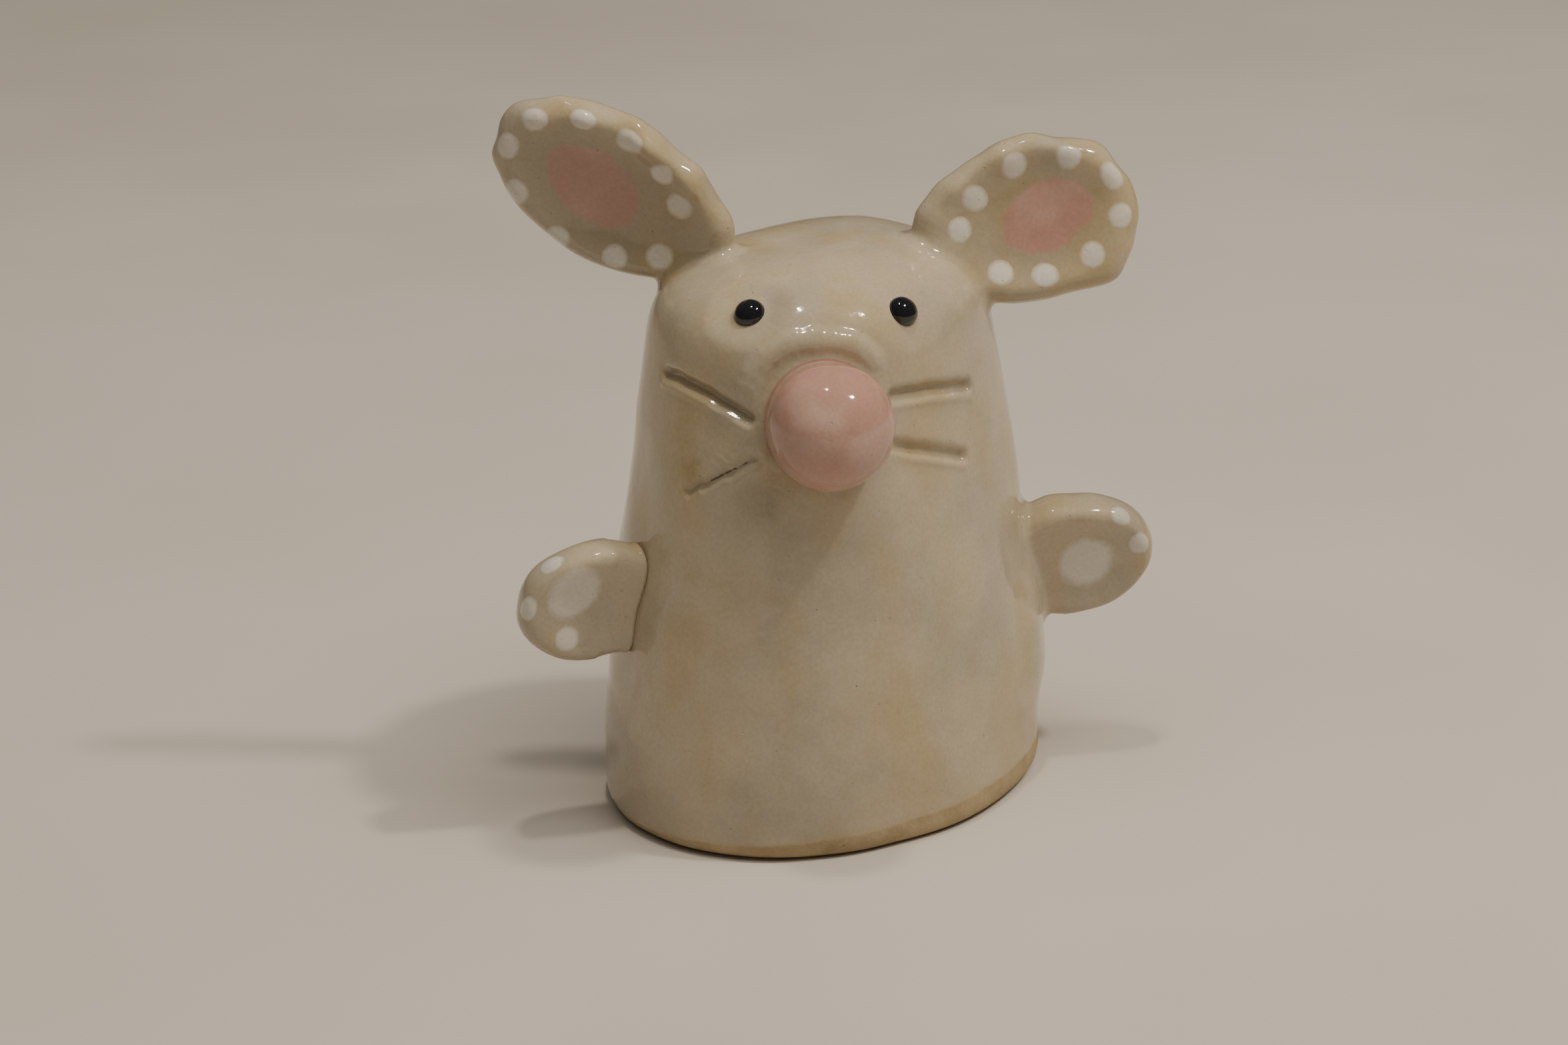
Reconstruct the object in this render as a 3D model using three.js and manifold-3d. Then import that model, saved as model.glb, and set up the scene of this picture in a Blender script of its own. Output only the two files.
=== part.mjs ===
// A pottery mouse, built by hand from soft clay and glazed: a hollow, bell-shaped body that stands on its open
// foot, with ears, arms, nose, tail, eyes and raised dots of slip that were each shaped alone and stuck on.
// Millimetres, +Z up. The mouse faces -Y, so its own left side is at +X.

import * as THREE from "three";
import { mergeVertices } from "three/addons/utils/BufferGeometryUtils.js";
import Module from "manifold-3d";

const wasm = await Module();
wasm.setup();

// ---- Driving dimensions ----

const BODY_HEIGHT = 55.2;
const FOOT_RADIUS = 21.9;
const TAPER = 5.2; // how much the radius has shrunk where the dome begins
const TAPER_START = 8;
const DOME_START = 48;
const DOME_FULLNESS = 2.6; // superellipse exponent, 2 is an ellipse
const OVAL = 0.08; // the footprint is this share longer than round one way, and shorter the other way
const OVAL_TURN = 45; // degrees from the mouse's left towards its back
const LEAN = 0.018; // how far the body leans to its left per millimetre of height
const WALL = 4.4;
const CROWN = 5; // clay above the hollow
const FOOT_EDGE = 1.6; // radius of the foot ring's outer edge
const FOOT_INNER_EDGE = 0.8;
const ROUND = 48; // facets around the body

const SLIP_LAYER = 0.3; // joining slip between two clay pieces
const GLAZE_GAP = 0.15; // glaze around a dot or an eye in its recess

// Places on the body are [height, degrees round from straight ahead, towards the mouse's left].
const EYES = { left: [51.4, 32], right: [52.4, -29] };
const EYE_RADIUS = 1.5;
const EYE_DEPTH = 1.1; // half the thickness of the bead of black slip

const WHISKERS = [
  { from: [44, 23], to: [42.6, 53] },
  { from: [39.5, 21], to: [36.4, 47] },
  { from: [43, -23], to: [45.6, -60] },
  { from: [39.2, -21], to: [35.6, -43] },
];
const WHISKER_RADIUS = 0.9;
const WHISKER_DEPTH = 0.6;

const NOSE_RADIUS = 6.2;
const NOSE_PLACE = [42.5, 0];
const NOSE_OUT = 2.4; // the ball's middle lies this far outside the body

const TAIL = { from: [5.5, 182], to: [13, 118] };
const TAIL_RADIUS = 2.4;
const TAIL_TIP_RADIUS = 1.2;
const TAIL_OUT = 1.2;

// Each ear and arm is a ball of clay pinched flat into a pad. It runs from its root towards its tip in a direction
// given in degrees up from the mouse's left, seen from the front, and its tip is turned back by some degrees.
// A dot's place is [degrees round the pad from its tip, share of the way out from its middle to its rim].
const EARS = {
  left: {
    root: [10, 0, 52.8],
    direction: 14,
    back: 4,
    pad: { length: 22.4, width: 16.2, thickness: 4.6, neck: 0.8, dish: 1.2 },
    dots: { count: 9, from: -123, to: 158, skew: 0.04 },
  },
  right: {
    root: [-7.4, 0, 53.4],
    direction: 147,
    back: 8,
    pad: { length: 25.8, width: 15.6, thickness: 4.6, neck: 0.8, dish: 1.2 },
    dots: { count: 10, from: -146, to: 140, skew: 0.1 },
  },
};
const ARMS = {
  left: {
    root: [18, 1.4, 21.2],
    direction: 0,
    back: 5,
    pad: { length: 15.5, width: 12.9, thickness: 6, neck: 1.15, dish: 0.8 },
    palm: [-46, 0.13],
    toes: [[47, 0.79], [7, 0.8]],
  },
  right: {
    root: [-16.2, -5.2, 24.4],
    direction: 188,
    back: -18,
    pad: { length: 14.6, width: 11.8, thickness: 5.6, neck: 1.15, dish: 0.3 },
    palm: [-38, 0.3],
    toes: [[-59, 0.84], [-6, 0.86], [52, 0.73]],
  },
};
const EAR_DOT = 1.25;
const PALM_DOT = 2.2;
const TOE_DOT = 1.15;
const DOT_RELIEF = 0.5; // half the thickness of a dot

// ---- Materials ----

function glaze(color, roughness = 0.15) {
  return new THREE.MeshStandardMaterial({ color, roughness, metalness: 0 });
}

const creamGlaze = () => glaze("#c5b8a2");
const pinkGlaze = () => glaze("#cbaea2");
const whiteSlip = () => glaze("#e0dace", 0.2);
const blackSlip = () => glaze("#0b0b0c", 0.08);

// ---- Solids ----

// The closed solid of a three.js geometry, merged on position alone.
function solid(geometry) {
  const bare = new THREE.BufferGeometry();
  bare.setAttribute("position", geometry.getAttribute("position"));
  bare.setIndex(geometry.getIndex());
  const merged = mergeVertices(bare, 1e-4);
  return new wasm.Manifold(
    new wasm.Mesh({
      numProp: 3,
      vertProperties: merged.getAttribute("position").array,
      triVerts: new Uint32Array(merged.getIndex().array),
    }),
  );
}

function geometryOf(manifold) {
  const { vertProperties, triVerts } = manifold.getMesh();
  const geometry = new THREE.BufferGeometry();
  geometry.setAttribute("position", new THREE.BufferAttribute(vertProperties, 3));
  geometry.setIndex(new THREE.BufferAttribute(triVerts, 1));
  geometry.computeVertexNormals();
  return geometry;
}

// Moves every vertex of a geometry by a function that changes the vector it is given.
function reshape(geometry, change) {
  const position = geometry.getAttribute("position");
  const point = new THREE.Vector3();
  for (let i = 0; i < position.count; i++) {
    change(point.fromBufferAttribute(position, i));
    position.setXYZ(i, point.x, point.y, point.z);
  }
  return geometry;
}

const { degToRad, lerp, smoothstep } = THREE.MathUtils;

function vector(...xyz) {
  return new THREE.Vector3(...xyz);
}

function turnTo(facing) {
  return new THREE.Quaternion().setFromUnitVectors(vector(0, 0, 1), facing);
}

// A ball flattened along Z.
function lens(radius, halfThickness, round = 10) {
  return new THREE.SphereGeometry(1, round, round / 2).rotateX(Math.PI / 2).scale(radius, radius, halfThickness);
}

// A lens as a solid that stands on a surface point and faces as the surface does.
function lensAt({ point, facing }, radius, halfThickness, round) {
  const geometry = lens(radius, halfThickness, round).applyQuaternion(turnTo(facing));
  return solid(geometry.translate(...point));
}

// ---- Body ----

function superellipse(share) {
  return (1 - Math.min(share, 1) ** DOME_FULLNESS) ** (1 / DOME_FULLNESS);
}

// Radius of the body's outside at a height: a slow taper, then a full dome.
function bodyRadius(z) {
  const along = Math.max(z - TAPER_START, 0) / (DOME_START - TAPER_START);
  const cone = FOOT_RADIUS - TAPER * along ** 1.3;
  return cone * superellipse(Math.max(z - DOME_START, 0) / (BODY_HEIGHT - DOME_START));
}

const HOLLOW_HEIGHT = BODY_HEIGHT - CROWN;
const HOLLOW_DOME_START = DOME_START - CROWN;

function hollowRadius(z) {
  const dome = superellipse(Math.max(z - HOLLOW_DOME_START, 0) / (HOLLOW_HEIGHT - HOLLOW_DOME_START));
  return (bodyRadius(Math.min(z, HOLLOW_DOME_START)) - WALL) * dome;
}

// The potter's hand: what is turned round comes out a little oval, and leans.
function handForm(p) {
  const long = vector(Math.cos(degToRad(OVAL_TURN)), Math.sin(degToRad(OVAL_TURN)), 0);
  const across = vector(-long.y, long.x, 0);
  const stretched = vector(LEAN * p.z, 0, p.z);
  stretched.addScaledVector(long, p.dot(long) * (1 + OVAL));
  stretched.addScaledVector(across, p.dot(across) * (1 - OVAL));
  return p.copy(stretched);
}

// Half outline of a wall from its top on the axis down to its foot edge, grown outwards by a margin.
function wallOutline(radius, top, domeStart, foot, margin = 0) {
  const points = [new THREE.Vector2(0, top + margin)];
  const domeRows = 8;
  for (let row = 1; row < domeRows; row++) {
    const rise = Math.cos((row / domeRows) * (Math.PI / 2)) ** (2 / DOME_FULLNESS);
    const z = lerp(domeStart, top, rise);
    points.push(new THREE.Vector2(radius(z) + margin, z + margin * rise));
  }
  const wallRows = 6;
  for (let row = 0; row <= wallRows; row++) {
    const z = lerp(domeStart, foot, row / wallRows);
    points.push(new THREE.Vector2(radius(z) + margin, z));
  }
  return points;
}

// The quarter round that leads a wall down into the flat ring of the foot.
function footEdge(wall, edge, inwards) {
  const points = [];
  const rows = 3;
  for (let row = 1; row <= rows; row++) {
    const angle = (row / rows) * (Math.PI / 2);
    const x = wall + inwards * edge * (1 - Math.cos(angle));
    points.push(new THREE.Vector2(x, edge * (1 - Math.sin(angle))));
  }
  return points;
}

function turned(outline) {
  const lathe = new THREE.LatheGeometry(outline.reverse(), ROUND).rotateX(Math.PI / 2);
  return solid(reshape(lathe, handForm));
}

function bareShell() {
  const outside = wallOutline(bodyRadius, BODY_HEIGHT, DOME_START, FOOT_EDGE);
  const inside = wallOutline(hollowRadius, HOLLOW_HEIGHT, HOLLOW_DOME_START, FOOT_INNER_EDGE);
  const outerEdge = footEdge(bodyRadius(FOOT_EDGE), FOOT_EDGE, -1);
  const innerEdge = footEdge(hollowRadius(FOOT_INNER_EDGE), FOOT_INNER_EDGE, 1);
  return turned([...outside, ...outerEdge, ...innerEdge.reverse(), ...inside.reverse()]);
}

// The body without its hollow, grown by the layer of slip: what every stuck-on piece is cut back to.
function bodyWithSlip() {
  const outline = wallOutline(bodyRadius, BODY_HEIGHT, DOME_START, FOOT_EDGE, SLIP_LAYER);
  const below = -1;
  outline.push(new THREE.Vector2(bodyRadius(0) + SLIP_LAYER, below), new THREE.Vector2(0, below));
  return turned(outline);
}

// A place on the body's outside, and the direction that the surface faces there.
function onBody([height, degrees]) {
  const at = (z, angle) => {
    const radius = bodyRadius(z);
    return handForm(vector(radius * Math.sin(angle), -radius * Math.cos(angle), z));
  };
  const angle = degToRad(degrees);
  const step = 0.01;
  const up = at(height + step, angle).sub(at(height - step, angle));
  const round = at(height, angle + step).sub(at(height, angle - step));
  return { point: at(height, angle), facing: round.cross(up).normalize() };
}

// A rolled coil that follows the body between two places on it, with its middle line some way outside the surface,
// and that thins evenly from one radius to another.
function coilOnBody({ from, to }, out, radius, tipRadius = radius) {
  const rows = 12;
  const capsule = new THREE.CapsuleGeometry(1, rows, 3, 10, rows);
  const path = onBody(to).point.sub(onBody(from).point);
  return reshape(capsule, (p) => {
    const along = p.y / (rows + 2) + 0.5;
    const { point, facing } = onBody([lerp(from[0], to[0], along), lerp(from[1], to[1], along)]);
    const beside = path.clone().cross(facing).normalize();
    const thick = lerp(radius, tipRadius, along);
    point.addScaledVector(facing, out + thick * p.z).addScaledVector(beside, thick * p.x);
    p.copy(point);
  });
}

function bodyShell() {
  let shell = bareShell();
  for (const whisker of WHISKERS) {
    shell = shell.subtract(solid(coilOnBody(whisker, WHISKER_RADIUS - WHISKER_DEPTH, WHISKER_RADIUS)));
  }
  for (const eye of Object.values(EYES)) {
    shell = shell.subtract(lensAt(onBody(eye), EYE_RADIUS + GLAZE_GAP, EYE_DEPTH + GLAZE_GAP));
  }
  return shell;
}

// ---- Pads: ears and arms ----

// Shapes a unit ball into a pinched pad: it runs along +X from its root to its tip, is broad along Z, thin along
// Y, and pressed in by a thumb on its front, which is at -Y.
function pinch({ length, width, thickness, neck, dish }) {
  return (p) => {
    const along = (p.x + 1) / 2;
    const out = Math.hypot(p.x, p.z);
    const thumb = p.y < 0 ? dish * (1 - smoothstep(out, 0.2, 0.9)) : 0;
    const round = Math.sign(p.y) * Math.abs(p.y) ** 0.8;
    p.set(
      length * along,
      (thickness / 2) * round + thumb,
      (width / 2) * lerp(neck, 1, smoothstep(along, 0, 0.6)) * p.z,
    );
    return p;
  };
}

// A point on the front of a pad, given round it in degrees and as a share of the way out to its rim.
function onPad(pad, degrees, share) {
  const shape = pinch(pad);
  const at = (x, z) => shape(vector(x, -Math.sqrt(Math.max(1 - x * x - z * z, 0)), z));
  const x = share * Math.cos(degToRad(degrees));
  const z = share * Math.sin(degToRad(degrees));
  const step = 0.01;
  const alongX = at(x + step, z).sub(at(x - step, z));
  const alongZ = at(x, z + step).sub(at(x, z - step));
  return { point: at(x, z), facing: alongX.cross(alongZ).normalize() };
}

function stand(object, { root, direction, back }) {
  const a = degToRad(direction);
  const b = degToRad(back);
  const along = vector(Math.cos(a) * Math.cos(b), Math.sin(b), Math.sin(a) * Math.cos(b));
  const behind = vector(0, 1, 0).addScaledVector(along, -along.y).normalize();
  const across = along.clone().cross(behind);
  object.quaternion.setFromRotationMatrix(new THREE.Matrix4().makeBasis(along, behind, across));
  object.position.set(...root);
  object.updateMatrix();
  return object;
}

function add(group, name, geometry, material) {
  const mesh = new THREE.Mesh(geometry, material);
  mesh.name = name;
  group.add(mesh);
  return mesh;
}

// A pad with its dots, cut back to the body, as a group that stands at the pad's root.
function padWithDots(name, spec, dots, body) {
  const group = stand(new THREE.Group(), spec);
  const toGroup = group.matrix.clone().invert().elements;
  const ball = new THREE.SphereGeometry(1, 22, 18).rotateZ(-Math.PI / 2);
  let pad = solid(reshape(ball, pinch(spec.pad))).subtract(body.transform(toGroup));
  for (const dot of dots) {
    const { point, facing } = onPad(spec.pad, dot.degrees, dot.share);
    pad = pad.subtract(lensAt({ point, facing }, dot.radius + GLAZE_GAP, DOT_RELIEF + GLAZE_GAP));
    const slip = add(group, dot.name, lens(dot.radius, DOT_RELIEF), whiteSlip());
    slip.position.copy(point);
    slip.quaternion.copy(turnTo(facing));
  }
  add(group, name, geometryOf(pad), creamGlaze());
  return group;
}

// Dots evenly round the rim of an ear, nearer to the rim at the tip than at the root and skewed to one side.
function earDots(side, { count, from, to, skew }) {
  return Array.from({ length: count }, (_, i) => {
    const degrees = lerp(from, to, i / (count - 1));
    const share = 0.72 + 0.13 * Math.cos(degToRad(degrees)) + skew * Math.sin(degToRad(degrees));
    return { name: `ear_${side}_dot_${i + 1}`, degrees, share, radius: EAR_DOT };
  });
}

function pawDots(side, { palm, toes }) {
  const dots = [{ name: `paw_${side}_palm`, degrees: palm[0], share: palm[1], radius: PALM_DOT }];
  toes.forEach(([degrees, share], i) => {
    dots.push({ name: `paw_${side}_toe_${i + 1}`, degrees, share, radius: TOE_DOT });
  });
  return dots;
}

// ---- Nose and tail ----

function nose(group, body) {
  const { point, facing } = onBody(NOSE_PLACE);
  const middle = point.addScaledVector(facing, NOSE_OUT);
  const ball = solid(new THREE.SphereGeometry(NOSE_RADIUS, 28, 20));
  const trimmed = ball.subtract(body.translate(middle.clone().negate().toArray()));
  add(group, "nose", geometryOf(trimmed), pinkGlaze()).position.copy(middle);
}

function tail(group, body) {
  const coil = solid(coilOnBody(TAIL, TAIL_OUT, TAIL_RADIUS, TAIL_TIP_RADIUS));
  add(group, "tail", geometryOf(coil.subtract(body)), creamGlaze());
}

// ---- The mouse ----

const mouse = new THREE.Group();
const body = bodyWithSlip();

add(mouse, "body_shell", geometryOf(bodyShell()), creamGlaze());
for (const [side, ear] of Object.entries(EARS)) {
  mouse.add(padWithDots(`ear_${side}`, ear, earDots(side, ear.dots), body));
}
for (const [side, arm] of Object.entries(ARMS)) {
  mouse.add(padWithDots(`arm_${side}`, arm, pawDots(side, arm), body));
}
for (const [side, place] of Object.entries(EYES)) {
  const { point, facing } = onBody(place);
  const eye = add(mouse, `eye_${side}`, lens(EYE_RADIUS, EYE_DEPTH), blackSlip());
  eye.position.copy(point);
  eye.quaternion.copy(turnTo(facing));
}
nose(mouse, body);
tail(mouse, body);

// The frame's origin is on the ground under the middle of the whole mouse.
const middle = new THREE.Box3().setFromObject(mouse, true).getCenter(vector());
mouse.position.set(-middle.x, -middle.y, 0);

export default mouse;
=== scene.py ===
"""A pottery mouse: hand-built stoneware under a clear glossy glaze, with slip dots and a bare foot."""

import math
import random

import bpy
import numpy as np
from mathutils import Matrix, Vector
from mathutils.bvhtree import BVHTree


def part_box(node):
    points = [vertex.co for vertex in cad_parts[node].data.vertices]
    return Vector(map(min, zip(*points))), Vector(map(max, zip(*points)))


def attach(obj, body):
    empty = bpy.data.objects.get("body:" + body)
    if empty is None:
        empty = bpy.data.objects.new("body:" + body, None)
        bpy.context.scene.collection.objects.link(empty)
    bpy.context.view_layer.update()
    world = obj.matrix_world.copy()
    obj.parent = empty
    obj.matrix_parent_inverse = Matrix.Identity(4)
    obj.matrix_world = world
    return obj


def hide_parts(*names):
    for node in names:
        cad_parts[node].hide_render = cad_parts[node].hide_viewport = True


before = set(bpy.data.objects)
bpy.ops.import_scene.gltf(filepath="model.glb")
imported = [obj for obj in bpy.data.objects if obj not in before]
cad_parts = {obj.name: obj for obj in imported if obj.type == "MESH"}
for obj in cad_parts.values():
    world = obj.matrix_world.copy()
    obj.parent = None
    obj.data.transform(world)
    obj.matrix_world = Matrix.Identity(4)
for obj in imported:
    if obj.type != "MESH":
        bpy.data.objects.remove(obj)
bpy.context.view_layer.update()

MM = 0.001
hand = random.Random(7)

# ---- Driving sizes, in millimetres ----

# The body and the tail are as in the CAD.

BODY_HEIGHT = 55.2
FOOT_RADIUS = 21.9
TAPER = 5.2
TAPER_START = 8
DOME_START = 48
DOME_FULLNESS = 2.6
WALL = 4.4
CROWN = 5
FOOT_EDGE = 1.6  # radius of the foot ring's outer edge
OVAL = 0.08  # the footprint is this share longer one way, and shorter across it
OVAL_TURN = 45  # degrees from the mouse's left towards its back
LEAN = 0.018  # sideways for each millimetre of height
AXIS_FOOT = Vector((-1.67, 0.40, 0))  # where the body's own axis meets the ground
HOLLOW_TOP = BODY_HEIGHT - CROWN
HOLLOW_DOME_START = DOME_START - CROWN
HOLLOW_MEASURED_TO = 50  # just under the top of the hollow, where it still has a width

# Places on the wall are (height, degrees round from the front towards the mouse's left).
NOSE_PLACE = (42.5, 0)
MUZZLE_PLACE = (38, 0)
NOSE_RADIUS = 6.1
NOSE_DEPTH = 6.2
BROW_RADIUS = 8.3  # of the ridge pinched up over the nose
BROW_DEGREES = range(-62, 50, 6)
SOCKET_DEPTH = {"left": 0.3, "right": 0.6}
EYE_SUNK = 0.3
BARE_BAND = 2.3  # height of the unglazed foot in the middle
BARE_BAND_TILT = 0.05  # rise for each millimetre towards the mouse's left

# Each whisker runs between two places on the wall, and then comes how far it arches up, how deep it is,
# and how much the stroke shakes.
WHISKERS = {
    "left_upper": ((44, 23), (42.6, 53), 0.25, 0.72, 0.03),
    "left_lower": ((39.5, 21), (36.4, 47), 0.1, 0.7, 0.03),
    "right_upper": ((43, -23), (45.6, -60), 0.75, 0.72, 0.04),
    "right_lower": ((39.2, -21), (35.6, -43), 0.0, 0.42, 0.13),
}

GROOVE_WIDTH = 0.66
GROOVE_SQUARENESS = 2.4
LIP_HEIGHT = 0.2
LIP_WIDTH = 0.45
POOL_AND_SHADE_REACH = 0.95  # how far from a groove's line the darker glaze that gathers in it, with its painted shade, goes
POOL_AND_SHADE_SHARE = 0.75
CRUMB_HEIGHT = 0.2
CRUMB_REACH = 0.6

# The tail is a tapered coil, from its thick end to its tip.
TAIL = {"heights": (5.5, 13), "degrees": (182, 118), "radius": (2.4, 1.2), "out": 1.2}
TAIL_STEPS = 40

# Each pad of clay: the root it grows from, where it points, its lean back and its roll about its own
# length in degrees, its size, how far its root end is drawn in or out, and how it is smeared onto the
# body. They start from the CAD's pads, which aren't rolled, and the right arm sits further forward
# than the CAD's. An ear's marks are pinches in its rim, as (degrees round from the tip, pull, reach),
# and its lifts raise the front of the rim, as (degrees, lift). Its wash is the pink patch: how far it
# lies from the ear's middle, its turn in degrees and its half sizes.
EARS = {
    "ear_left": {
        "root": (10, 0, 52.8), "direction": 14, "back": 4, "roll": -14,
        "length": 22.4, "width": 16.2, "neck": 0.88, "joint": {"spread": 1.7},
        "marks": (
            (-58, 1.5, 5), (-28, 0.5, 4), (150, 0.5, 3.4), (18, -0.25), (38, 0.3),
            (60, -0.25), (76, 0.25), (100, -0.2), (128, 0.3), (-40, 0.15),
        ),
        "lifts": ((60, 0.3), (95, 0.35), (130, 0.4)),
        "wash": {"along": 2.2, "across": -0.1, "turn": 10, "half": (4.8, 3.4)},
    },
    "ear_right": {
        "root": (-7.4, 0, 53.4), "direction": 147, "back": 8, "roll": -14,
        "length": 25.8, "width": 15.6, "neck": 0.88, "joint": {"spread": 1.7},
        "marks": (
            (-143, 0.25, 3.4), (-20, 0.3), (-45, 0.35), (-66, -0.3), (-84, 0.4),
            (-101, -0.35), (-118, 0.4), (-136, -0.3), (25, 0.3), (8, -0.25),
        ),
        "lifts": ((-30, 0.4), (-60, 0.35), (-95, 0.5), (-122, 0.45)),
        "wash": {"along": 2.0, "across": 0.2, "turn": -14, "half": (5.3, 3.6)},
    },
}
ARMS = {
    "arm_left": {
        "root": (18, 1.4, 21.2), "direction": 0, "back": 5, "roll": 14,
        "length": 15.5, "width": 12.9, "neck": 1.15, "joint": {"spread": 1.6},
    },
    "arm_right": {
        "root": (-15.6, -8.4, 24.5), "direction": 188, "back": -9, "roll": -8,
        "length": 14.7, "width": 11.6, "neck": 1.15, "joint": {"spread": 0.9, "blend": 2.4, "rounds": 30},
    },
}
RIM_FRONT = 0.84  # where the front of an ear's rim stands, as a share of the way out

# Half outlines of a pad across its thickness, before it is drawn out long: (share of the way out, height).
EAR_PROFILE = (
    (0, -2.3), (0.4, -2.28), (0.72, -2.0), (0.9, -1.35), (0.985, -0.5), (1, 0.35), (0.97, 1.25),
    (0.9, 1.95), (0.82, 2.2), (0.72, 1.95), (0.55, 1.4), (0.3, 1.12), (0, 1.05),
)
ARM_PROFILE = (
    (0, -3), (0.45, -2.9), (0.75, -2.4), (0.92, -1.4), (1, -0.1), (1, 1.2), (0.965, 2.3),
    (0.87, 2.95), (0.72, 2.8), (0.48, 2.35), (0.22, 2.15), (0, 2.1),
)


# ---- Hands: selecting, pushing and pressing ----


def clear_bench():
    if bpy.context.object and bpy.context.object.mode != "OBJECT":
        bpy.ops.object.mode_set(mode="OBJECT")
    bpy.ops.object.select_all(action="DESELECT")


def places(ob):
    co = np.empty(len(ob.data.vertices) * 3)
    ob.data.vertices.foreach_get("co", co)
    return co.reshape(-1, 3) / MM


def set_places(ob, co):
    ob.data.vertices.foreach_set("co", (np.asarray(co) * MM).ravel())
    ob.data.update()


def pick(ob, chosen):
    """Selects the vertices that a mask over places(ob) is true for, and leaves the piece in edit mode."""
    bpy.context.view_layer.objects.active = ob
    bpy.ops.object.mode_set(mode="EDIT")
    bpy.ops.mesh.select_mode(type="VERT")
    bpy.ops.mesh.select_all(action="DESELECT")
    bpy.ops.object.mode_set(mode="OBJECT")
    ob.data.vertices.foreach_set("select", np.asarray(chosen, dtype=bool))
    bpy.ops.object.mode_set(mode="EDIT")


def near(ob, point, reach):
    return np.linalg.norm(places(ob) - np.array(point), axis=1) < reach


def nearest(ob, point):
    distance = np.linalg.norm(places(ob) - np.array(point), axis=1)
    return distance <= distance.min() + 1e-9


def soft(reach, connected=False):
    return {
        "use_proportional_edit": True,
        "proportional_edit_falloff": "SMOOTH",
        "proportional_size": reach * MM,
        "use_proportional_connected": connected,
    }


def push(ob, chosen, move, reach):
    pick(ob, chosen)
    bpy.ops.transform.translate(value=Vector(move) * MM, **soft(reach))
    bpy.ops.object.mode_set(mode="OBJECT")


def squeeze(ob, chosen, scale, middle, reach):
    pick(ob, chosen)
    bpy.ops.transform.resize(value=scale, center_override=Vector(middle) * MM, **soft(reach))
    bpy.ops.object.mode_set(mode="OBJECT")


def press(ob, chosen, depth, reach):
    """Presses the chosen vertices in along their own normals, and what is joined within reach after them."""
    pick(ob, chosen)
    bpy.ops.transform.shrink_fatten(value=-depth * MM, **soft(reach, connected=True))
    bpy.ops.object.mode_set(mode="OBJECT")


def refine(ob, chosen):
    pick(ob, chosen)
    bpy.ops.mesh.subdivide(number_cuts=1)
    bpy.ops.object.mode_set(mode="OBJECT")


def finish_with(ob, kind, **settings):
    modifier = ob.modifiers.new(kind.title(), kind)
    for key, value in settings.items():
        setattr(modifier, key, value)
    bpy.context.view_layer.objects.active = ob
    bpy.ops.object.modifier_apply(modifier=modifier.name)


def round_off(ob, levels):
    finish_with(ob, "SUBSURF", levels=levels, render_levels=levels)


def wobble(ob, size, height):
    """The unevenness of clay that fingers have shaped."""
    texture = bpy.data.textures.new("finger_wobble", "CLOUDS")
    texture.noise_scale = size * MM
    texture.noise_depth = 1
    finish_with(ob, "DISPLACE", texture=texture, strength=height * MM, mid_level=0.5)


def surface(ob):
    """The piece's skin, in millimetres, for finding the nearest place on it."""
    mesh = ob.data
    corners = [v.co / MM for v in mesh.vertices]
    return BVHTree.FromPolygons(corners, [tuple(p.vertices) for p in mesh.polygons])


def note(ob, name, values):
    """Keeps a number at each vertex for the glaze to read."""
    field = ob.data.attributes.get(name) or ob.data.attributes.new(name, "FLOAT", "POINT")
    field.data.foreach_set("value", np.asarray(values, dtype=float))


def upright_on(slope):
    """A turn that stands a piece's Z along a slope's normal."""
    return slope.to_track_quat("Z", "X").to_matrix().to_4x4()


def smooth(ob):
    clear_bench()
    ob.select_set(True)
    bpy.context.view_layer.objects.active = ob
    bpy.ops.object.shade_smooth()
    ob.select_set(False)


def close_up(ob):
    pick(ob, np.ones(len(ob.data.vertices)))
    bpy.ops.mesh.normals_make_consistent(inside=False)
    bpy.ops.object.mode_set(mode="OBJECT")


# ---- The wheel: every round form starts here ----


def raise_ring(ring, new):
    """Pulls the selected ring of clay to a new radius and height."""
    (radius, z), (new_radius, new_z) = ring, new
    bpy.ops.mesh.extrude_region_move(TRANSFORM_OT_translate={"value": (0, 0, (new_z - z) * MM)})
    share = new_radius / radius
    bpy.ops.transform.resize(value=(share, share, 1), center_override=(0, 0, new_z * MM))


def close_pole(ring, height):
    bpy.ops.mesh.extrude_region_move(TRANSFORM_OT_translate={"value": (0, 0, (height - ring[1]) * MM)})
    bpy.ops.mesh.merge(type="CENTER")


def throw(name, rings, segments):
    """Turns a form about the upright axis from (radius, height) rings. A radius of nothing closes an end."""
    clear_bench()
    closed_below = rings[0][0] == 0
    closed_above = rings[-1][0] == 0
    open_rings = rings[closed_below : len(rings) - closed_above]
    radius, height = open_rings[0]
    bpy.ops.mesh.primitive_circle_add(vertices=segments, radius=radius * MM, location=(0, 0, height * MM))
    ob = bpy.context.object
    ob.name = ob.data.name = name
    bpy.ops.object.transform_apply(location=True)
    bpy.ops.object.mode_set(mode="EDIT")
    bpy.ops.mesh.select_all(action="SELECT")
    for ring, new in zip(open_rings, open_rings[1:]):
        raise_ring(ring, new)
    if closed_above:
        close_pole(open_rings[-1], rings[-1][1])
    bpy.ops.object.mode_set(mode="OBJECT")
    if closed_below:
        first = np.arange(len(ob.data.vertices)) < segments
        pick(ob, first)
        close_pole(open_rings[0], rings[0][1])
        bpy.ops.object.mode_set(mode="OBJECT")
    close_up(ob)
    return ob


def set_at(ob, form):
    """Moves a piece to its place on the mouse, in its mesh."""
    form = form.copy()
    for part in range(3):
        form[part][3] *= MM
    ob.data.transform(form)
    ob.data.update()


# ---- Body ----


def superellipse(share):
    return (1 - min(share, 1) ** DOME_FULLNESS) ** (1 / DOME_FULLNESS)


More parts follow.
